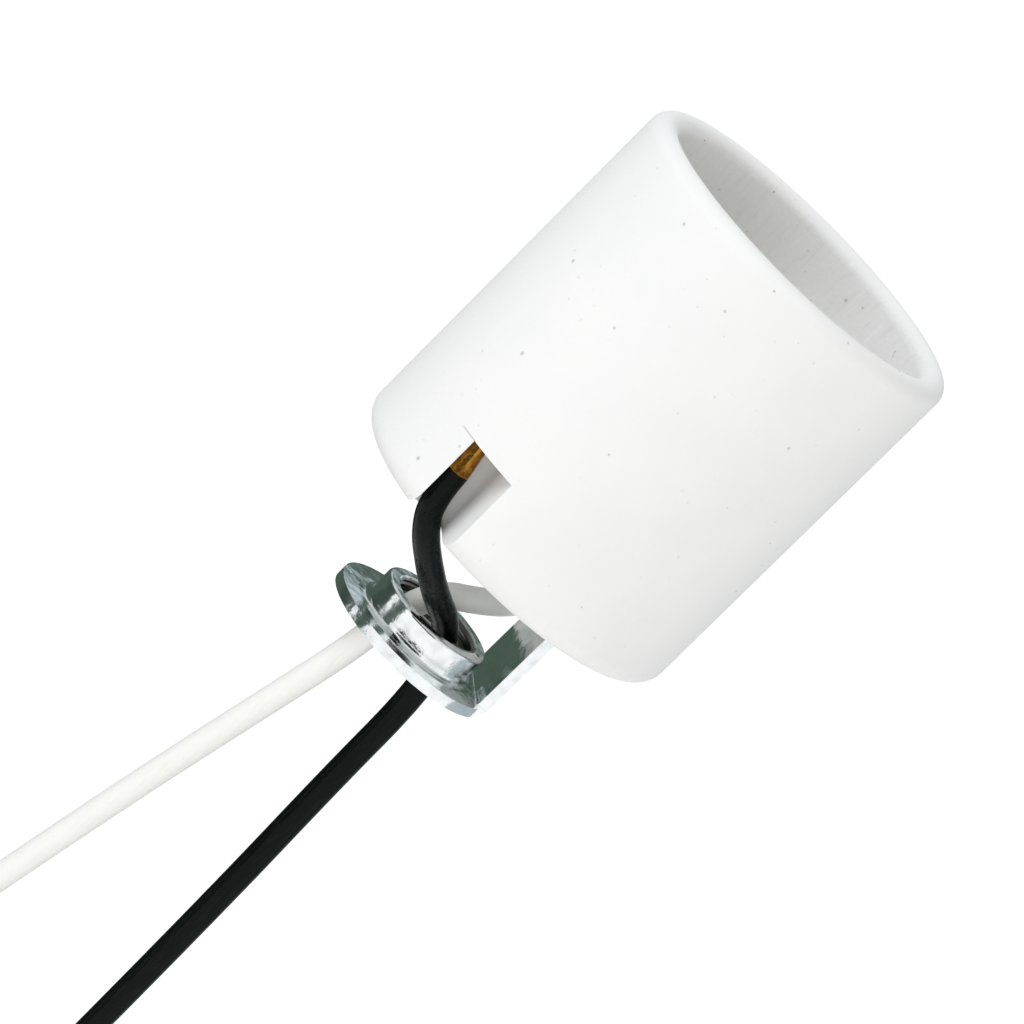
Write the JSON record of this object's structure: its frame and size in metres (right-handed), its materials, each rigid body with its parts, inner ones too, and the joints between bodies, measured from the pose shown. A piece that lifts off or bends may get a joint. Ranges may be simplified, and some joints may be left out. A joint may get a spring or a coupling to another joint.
{
  "type": "lamp holder",
  "caption": "Keyless unglazed porcelain lamp holder with a medium screw shell, on a folded steel bracket with a drawn threaded collar and bare-ended hanging leads.",
  "frame": {"origin": "on the axis of the socket and of the bracket's collar, at the underside of the bracket's plate, where it meets the lamp nipple's shoulder or locknut", "axes": "+Z along the axis to the socket's open mouth, +X to the bracket's arm"},
  "size_m": [0.0434, 0.0412, 0.183],
  "materials": {
    "porcelain": "unglazed, matte, with fine iron specks",
    "nickel_plate": "bright nickel plate on drawn copper alloy sheet",
    "fibre": "smooth vulcanised fibre",
    "brass": "plain stamped brass",
    "spring_steel": "drawn spring wire",
    "plated_screws": "bright zinc plate",
    "rivet_metal": "bright zinc plate",
    "sealing_compound": "dull poured compound",
    "zinc_plate": "bright zinc plate on cold-rolled steel",
    "black_insulation": "satin lead insulation",
    "white_insulation": "satin lead insulation",
    "copper": "bare twisted copper strands"
  },
  "bodies": {
    "root": {"porcelain_body": "porcelain", "screw_shell": "nickel_plate", "insulating_disc": "fibre", "contact_spring": "spring_steel", "contact_terminal": "brass", "shell_terminal": "brass", "contact_screw": "plated_screws", "shell_screw": "plated_screws", "bracket_rivet": "rivet_metal", "rivet_washer": "rivet_metal", "sealing_plug": "sealing_compound", "hickey_bracket": "zinc_plate", "black_lead": "black_insulation", "white_lead": "white_insulation", "black_conductor": "copper", "white_conductor": "copper"},
    "contact": {"centre_contact": "brass"}
  },
  "joints": [
    {"name": "contact_press", "type": "slide", "parent": "root", "child": "contact", "axis": [0, 0, 1], "range_m": [-0.002, 0], "stiffness_N_per_m": 1000, "springref_m": 0.001, "deforming": ["contact_spring"]}
  ]
}
